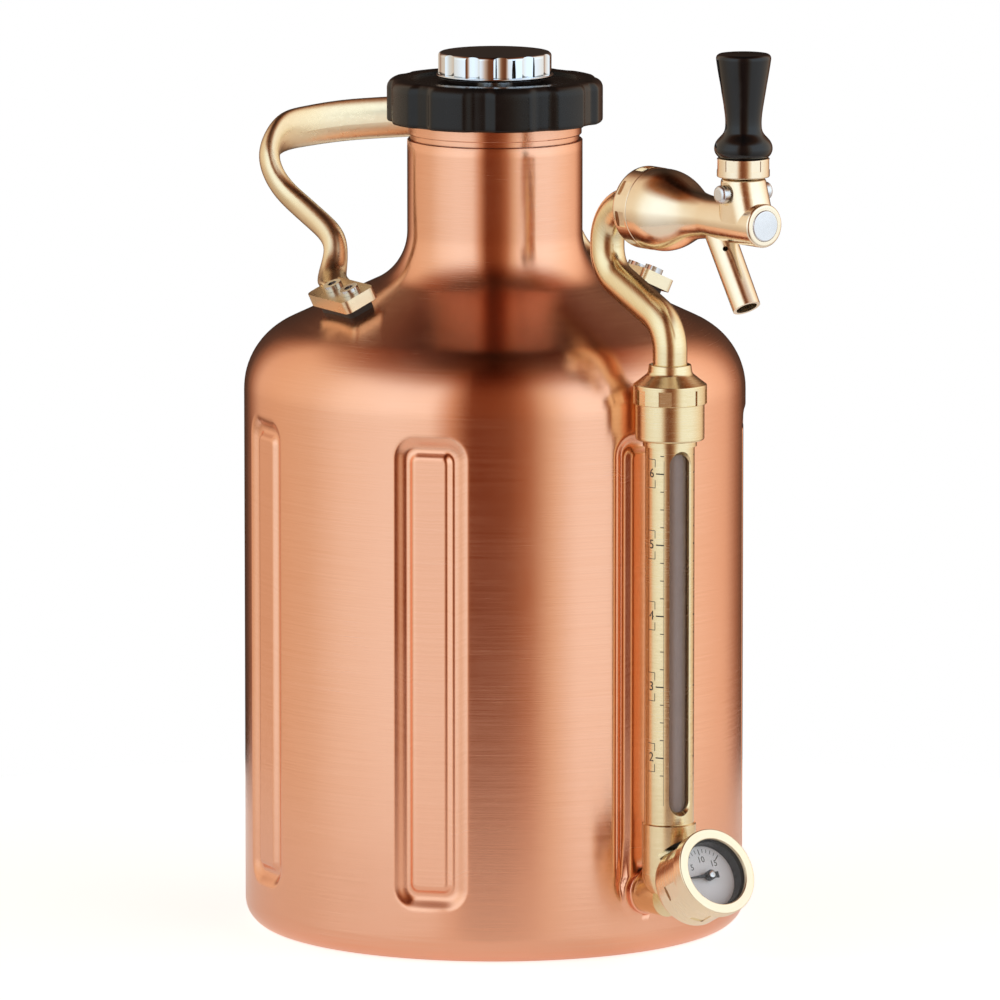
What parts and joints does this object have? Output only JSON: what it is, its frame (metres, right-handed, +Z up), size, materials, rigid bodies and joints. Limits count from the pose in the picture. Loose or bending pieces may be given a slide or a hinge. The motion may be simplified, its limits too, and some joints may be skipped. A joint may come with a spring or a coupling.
{
  "type": "growler",
  "caption": "Pressurised double-wall beer growler with a side tap, sight tube, pressure gauge, carrying handle and a screw cap that holds a gas regulator and cartridge.",
  "frame": {"origin": "centre of the base underside, on the vessel's axis", "axes": "+Z up along the vessel's axis, -Y toward the tap and the sight tube, +X to the right seen from the tap side"},
  "size_m": [0.1714, 0.2386, 0.3117],
  "materials": {
    "copper_plate": "copper-plated stainless steel, brushed round the body, satin",
    "bare_steel": "plain stainless steel, satin",
    "brass_fitting": "solid brass, fine brushed",
    "brass_tap": "brass, polished",
    "brass_strap": "brass-plated, satin brushed along its length",
    "copper_ring": "copper ring, polished",
    "steel_screws": "stainless steel, polished",
    "black_cap": "black plastic, moulded satin gloss",
    "black_handle": "black plastic, gloss",
    "chrome_knob": "chrome-plated, mirror",
    "pin_steel": "stainless steel, fine turned",
    "sight_glass": "clear glass, polished",
    "gauge_lens": "clear lens, polished",
    "dial_black": "matte black",
    "dial_white": "matte white print",
    "pointer_black": "matte black",
    "seal_rubber": "food-grade rubber",
    "foot_rubber": "rubber pad",
    "cartridge_steel": "zinc-plated steel",
    "sleeve_plastic": "black plastic",
    "spring_steel": "spring steel"
  },
  "bodies": {
    "vessel": {"outer_shell": "copper_plate", "base_plate": "copper_plate", "vacuum_button": "bare_steel", "inner_vessel": "bare_steel", "mouth_ring": "copper_plate", "port_fitting": "bare_steel", "port_seals": "seal_rubber", "port_trim": "copper_ring", "lower_manifold": "brass_fitting", "sight_tube": "brass_fitting", "sight_glass": "sight_glass", "glass_seals": "seal_rubber", "union_seal": "seal_rubber", "union_nut": "brass_fitting", "gooseneck": "brass_fitting", "shank_seal": "seal_rubber", "shank_nut": "brass_tap", "tap_body": "brass_tap", "pivot_pin": "pin_steel", "front_plug": "pin_steel", "gauge_case": "brass_fitting", "gauge_bezel": "brass_fitting", "gauge_lens": "gauge_lens", "gauge_ring": "dial_black", "gauge_dial": "dial_white", "bourdon_tube": "brass_fitting", "handle_bar": "brass_strap", "handle_pads": "foot_rubber", "handle_screws": "steel_screws"},
    "lever": {"tap_lever": "bare_steel", "lever_collar": "brass_tap", "tap_handle": "black_handle"},
    "valve": {"valve_shaft": "bare_steel", "valve_washer": "seal_rubber"},
    "pointer": {"gauge_pointer": "pointer_black"},
    "cap_seal": {"cap_gasket": "seal_rubber"},
    "cap": {"cap_shell": "black_cap", "regulator_body": "bare_steel", "diaphragm": "seal_rubber", "relief_valve": "bare_steel", "pierce_pin": "bare_steel", "cartridge_sleeve": "sleeve_plastic", "gas_cartridge": "cartridge_steel", "regulator_spring": "spring_steel"},
    "knob": {"pressure_knob": "chrome_knob"},
    "follower": {"spring_follower": "bare_steel"}
  },
  "joints": [
    {"name": "tap_lever_hinge", "type": "hinge", "parent": "vessel", "child": "lever", "pos_m": [0, -0.1381, 0.2655], "axis": [1, 0, 0], "range_deg": [0, 20]},
    {"name": "valve_slide", "type": "slide", "parent": "vessel", "child": "valve", "axis": [0, 1, 0], "range_m": [0, 0.0035]},
    {"name": "pointer_turn", "type": "hinge", "parent": "vessel", "child": "pointer", "pos_m": [0, -0.12065, 0.03293], "axis": [0, -0.891, 0.454], "range_deg": [-180, 0], "stiffness_Nm_per_rad": 0.001},
    {"name": "cap_lift", "type": "slide", "parent": "vessel", "child": "cap_seal", "axis": [0, 0, 1], "range_m": [0, 0.125]},
    {"name": "cap_turn", "type": "hinge", "parent": "cap_seal", "child": "cap", "pos_m": [0, 0, 0.284], "axis": [0, 0, 1], "range_deg": [0, 450]},
    {"name": "knob_turn", "type": "hinge", "parent": "cap", "child": "knob", "pos_m": [0, 0, 0.295], "axis": [0, 0, 1], "range_deg": [0, 270]},
    {"name": "follower_slide", "type": "slide", "parent": "cap", "child": "follower", "axis": [0, 0, -1], "range_m": [0, 0.002], "deforming": ["regulator_spring"]}
  ],
  "couplings": [
    {"joint": "valve_slide", "follows": "tap_lever_hinge", "m_per_rad": 0.01},
    {"joint": "follower_slide", "follows": "knob_turn", "m_per_rad": 0.000424}
  ]
}
